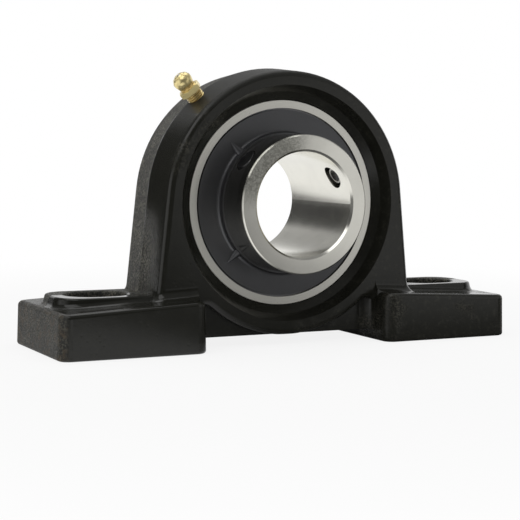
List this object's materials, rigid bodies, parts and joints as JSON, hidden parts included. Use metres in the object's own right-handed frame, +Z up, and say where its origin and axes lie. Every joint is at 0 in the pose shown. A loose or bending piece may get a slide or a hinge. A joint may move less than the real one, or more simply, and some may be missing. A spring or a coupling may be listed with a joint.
{
  "type": "pillow block bearing",
  "caption": "Cast pillow block with a self-aligning ball bearing insert, set screws, flingers and a grease nipple, for a 35 mm shaft.",
  "frame": {"origin": "on the mounting plane, midway between the two base bolts; the bearing centre is 47.6 mm above it", "axes": "+X right along the base, +Y back (the bearing axis is parallel to Y and the set screws are at the front, -Y), +Z up"},
  "size_m": [0.167, 0.0494, 0.093],
  "materials": {
    "cast_housing": "rough sand casting, dark paint",
    "outer_ring_steel": "ground",
    "inner_ring_steel": "ground and polished bore",
    "ball_steel": "polished",
    "cage_steel": "pressed sheet",
    "rivet_steel": "headed",
    "shield_steel": "pressed sheet",
    "seal_rubber": "moulded nitrile",
    "flinger_steel": "pressed sheet, dark coated",
    "screw_steel": "black oxide",
    "nipple_brass": "turned, bright passivated",
    "check_ball_steel": "polished",
    "spring_steel": "drawn wire"
  },
  "bodies": {
    "housing_body": {"housing": "cast_housing", "grease_nipple": "nipple_brass", "nipple_spring": "spring_steel"},
    "outer_race": {"outer_ring": "outer_ring_steel", "shield_front": "shield_steel", "shield_rear": "shield_steel", "seal_lip_front": "seal_rubber", "seal_lip_rear": "seal_rubber"},
    "shaft_sleeve": {"inner_ring": "inner_ring_steel", "flinger_front": "flinger_steel", "flinger_rear": "flinger_steel"},
    "cage": {"cage_front": "cage_steel", "cage_rear": "cage_steel", "cage_rivets": "rivet_steel"},
    "ball_1_body": {"ball_1": "ball_steel"},
    "ball_2_body": {"ball_2": "ball_steel"},
    "ball_3_body": {"ball_3": "ball_steel"},
    "ball_4_body": {"ball_4": "ball_steel"},
    "ball_5_body": {"ball_5": "ball_steel"},
    "ball_6_body": {"ball_6": "ball_steel"},
    "ball_7_body": {"ball_7": "ball_steel"},
    "ball_8_body": {"ball_8": "ball_steel"},
    "ball_9_body": {"ball_9": "ball_steel"},
    "set_screw_1_body": {"set_screw_1": "screw_steel"},
    "set_screw_2_body": {"set_screw_2": "screw_steel"},
    "check_ball": {"nipple_ball": "check_ball_steel"}
  },
  "joints": [
    {"name": "insert_alignment", "type": "hinge", "parent": "housing_body", "child": "outer_race", "pos_m": [0, 0, 0.0476], "axis": [1, 0, 0], "range_deg": [-2, 2]},
    {"name": "shaft_spin", "type": "hinge", "parent": "outer_race", "child": "shaft_sleeve", "pos_m": [0, 0, 0.0476], "axis": [0, -1, 0], "continuous": true},
    {"name": "cage_spin", "type": "hinge", "parent": "outer_race", "child": "cage", "pos_m": [0, 0, 0.0476], "axis": [0, -1, 0], "continuous": true},
    {"name": "ball_1_spin", "type": "hinge", "parent": "cage", "child": "ball_1_body", "pos_m": [0, 0, 0.07435], "axis": [0, -1, 0], "continuous": true},
    {"name": "ball_2_spin", "type": "hinge", "parent": "cage", "child": "ball_2_body", "pos_m": [-0.01719, 0, 0.06809], "axis": [0, -1, 0], "continuous": true},
    {"name": "ball_3_spin", "type": "hinge", "parent": "cage", "child": "ball_3_body", "pos_m": [-0.02634, 0, 0.05224], "axis": [0, -1, 0], "continuous": true},
    {"name": "ball_4_spin", "type": "hinge", "parent": "cage", "child": "ball_4_body", "pos_m": [-0.02317, 0, 0.03422], "axis": [0, -1, 0], "continuous": true},
    {"name": "ball_5_spin", "type": "hinge", "parent": "cage", "child": "ball_5_body", "pos_m": [-0.00915, 0, 0.02246], "axis": [0, -1, 0], "continuous": true},
    {"name": "ball_6_spin", "type": "hinge", "parent": "cage", "child": "ball_6_body", "pos_m": [0.00915, 0, 0.02246], "axis": [0, -1, 0], "continuous": true},
    {"name": "ball_7_spin", "type": "hinge", "parent": "cage", "child": "ball_7_body", "pos_m": [0.02317, 0, 0.03422], "axis": [0, -1, 0], "continuous": true},
    {"name": "ball_8_spin", "type": "hinge", "parent": "cage", "child": "ball_8_body", "pos_m": [0.02634, 0, 0.05224], "axis": [0, -1, 0], "continuous": true},
    {"name": "ball_9_spin", "type": "hinge", "parent": "cage", "child": "ball_9_body", "pos_m": [0.01719, 0, 0.06809], "axis": [0, -1, 0], "continuous": true},
    {"name": "set_screw_1_travel", "type": "slide", "parent": "shaft_sleeve", "child": "set_screw_1_body", "axis": [-0.8616, 0, -0.5075], "range_m": [-0.0025, 0.0007]},
    {"name": "set_screw_2_travel", "type": "slide", "parent": "shaft_sleeve", "child": "set_screw_2_body", "axis": [0.7716, 0, -0.6361], "range_m": [-0.0025, 0.0007]},
    {"name": "nipple_ball_travel", "type": "slide", "parent": "housing_body", "child": "check_ball", "axis": [0.6884, 0, -0.7254], "range_m": [0, 0.001], "stiffness_N_per_m": 300, "springref_m": -0.002, "deforming": ["nipple_spring"]}
  ],
  "couplings": [
    {"joint": "cage_spin", "follows": "shaft_spin", "ratio": 0.39615},
    {"joint": "ball_1_spin", "follows": "shaft_spin", "ratio": -2.3035},
    {"joint": "ball_2_spin", "follows": "shaft_spin", "ratio": -2.3035},
    {"joint": "ball_3_spin", "follows": "shaft_spin", "ratio": -2.3035},
    {"joint": "ball_4_spin", "follows": "shaft_spin", "ratio": -2.3035},
    {"joint": "ball_5_spin", "follows": "shaft_spin", "ratio": -2.3035},
    {"joint": "ball_6_spin", "follows": "shaft_spin", "ratio": -2.3035},
    {"joint": "ball_7_spin", "follows": "shaft_spin", "ratio": -2.3035},
    {"joint": "ball_8_spin", "follows": "shaft_spin", "ratio": -2.3035},
    {"joint": "ball_9_spin", "follows": "shaft_spin", "ratio": -2.3035}
  ]
}
